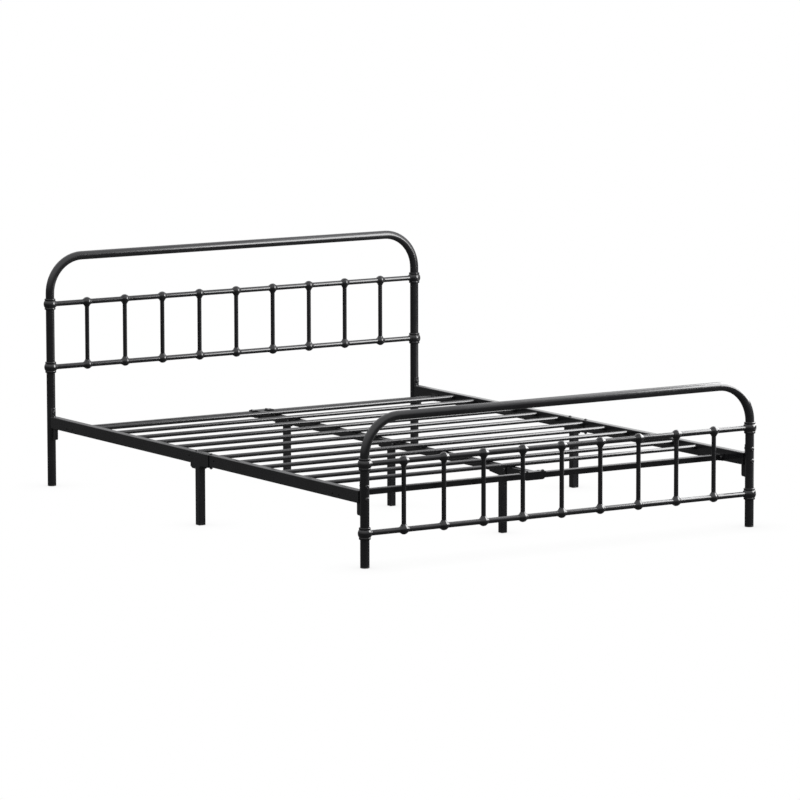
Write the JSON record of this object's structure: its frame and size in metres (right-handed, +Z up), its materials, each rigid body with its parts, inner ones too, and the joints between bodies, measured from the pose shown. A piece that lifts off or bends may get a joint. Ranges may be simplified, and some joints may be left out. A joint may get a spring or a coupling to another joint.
{
  "type": "metal bed frame",
  "caption": "Knock-down steel bed frame with two bent-tube spindle boards, jointed side rails, tube slats and a legged centre beam; holds a queen mattress.",
  "frame": {"origin": "on the floor, midway between the four posts", "axes": "+Z up, +Y along the bed towards the headboard, +X across the bed to the right when looking along +Y"},
  "size_m": [1.5549, 2.108, 0.82],
  "materials": {
    "powder_black": "satin",
    "cast_black": "satin",
    "slat_black": "satin",
    "underframe_black": "satin",
    "black_bolt": "satin",
    "feet_plastic": "matte",
    "plug_plastic": "matte"
  },
  "bodies": {
    "root": {"headboard_tube": "powder_black", "headboard_upper_rod": "powder_black", "headboard_lower_rod": "powder_black", "headboard_spindles": "powder_black", "headboard_knuckles": "cast_black", "headboard_collars": "cast_black", "headboard_feet": "feet_plastic", "footboard_tube": "powder_black", "footboard_upper_rod": "powder_black", "footboard_lower_rod": "powder_black", "footboard_spindles": "powder_black", "footboard_knuckles": "cast_black", "footboard_collars": "cast_black", "footboard_feet": "feet_plastic", "left_rail_head": "powder_black", "left_rail_foot": "powder_black", "right_rail_head": "powder_black", "right_rail_foot": "powder_black", "left_rail_joiner": "underframe_black", "right_rail_joiner": "underframe_black", "head_left_bracket": "powder_black", "head_right_bracket": "powder_black", "foot_left_bracket": "powder_black", "foot_right_bracket": "powder_black", "corner_bolts": "black_bolt", "corner_nuts": "black_bolt", "left_leg_saddle": "underframe_black", "right_leg_saddle": "underframe_black", "left_leg": "underframe_black", "right_leg": "underframe_black", "centre_beam_head": "underframe_black", "centre_beam_foot": "underframe_black", "centre_beam_joiner": "underframe_black", "centre_saddle_head": "underframe_black", "centre_saddle_middle": "underframe_black", "centre_saddle_foot": "underframe_black", "centre_leg_head": "underframe_black", "centre_leg_middle": "underframe_black", "centre_leg_foot": "underframe_black", "leg_feet": "feet_plastic", "head_crossbar": "underframe_black", "foot_crossbar": "underframe_black", "crossbar_brackets": "underframe_black", "head_beam_hook": "underframe_black", "foot_beam_hook": "underframe_black", "frame_bolts": "black_bolt", "frame_nuts": "black_bolt", "slat_01": "slat_black", "slat_02": "slat_black", "slat_03": "slat_black", "slat_04": "slat_black", "slat_05": "slat_black", "slat_06": "slat_black", "slat_07": "slat_black", "slat_08": "slat_black", "slat_09": "slat_black", "slat_10": "slat_black", "slat_11": "slat_black", "slat_12": "slat_black", "slat_plugs": "plug_plastic"}
  },
  "joints": []
}
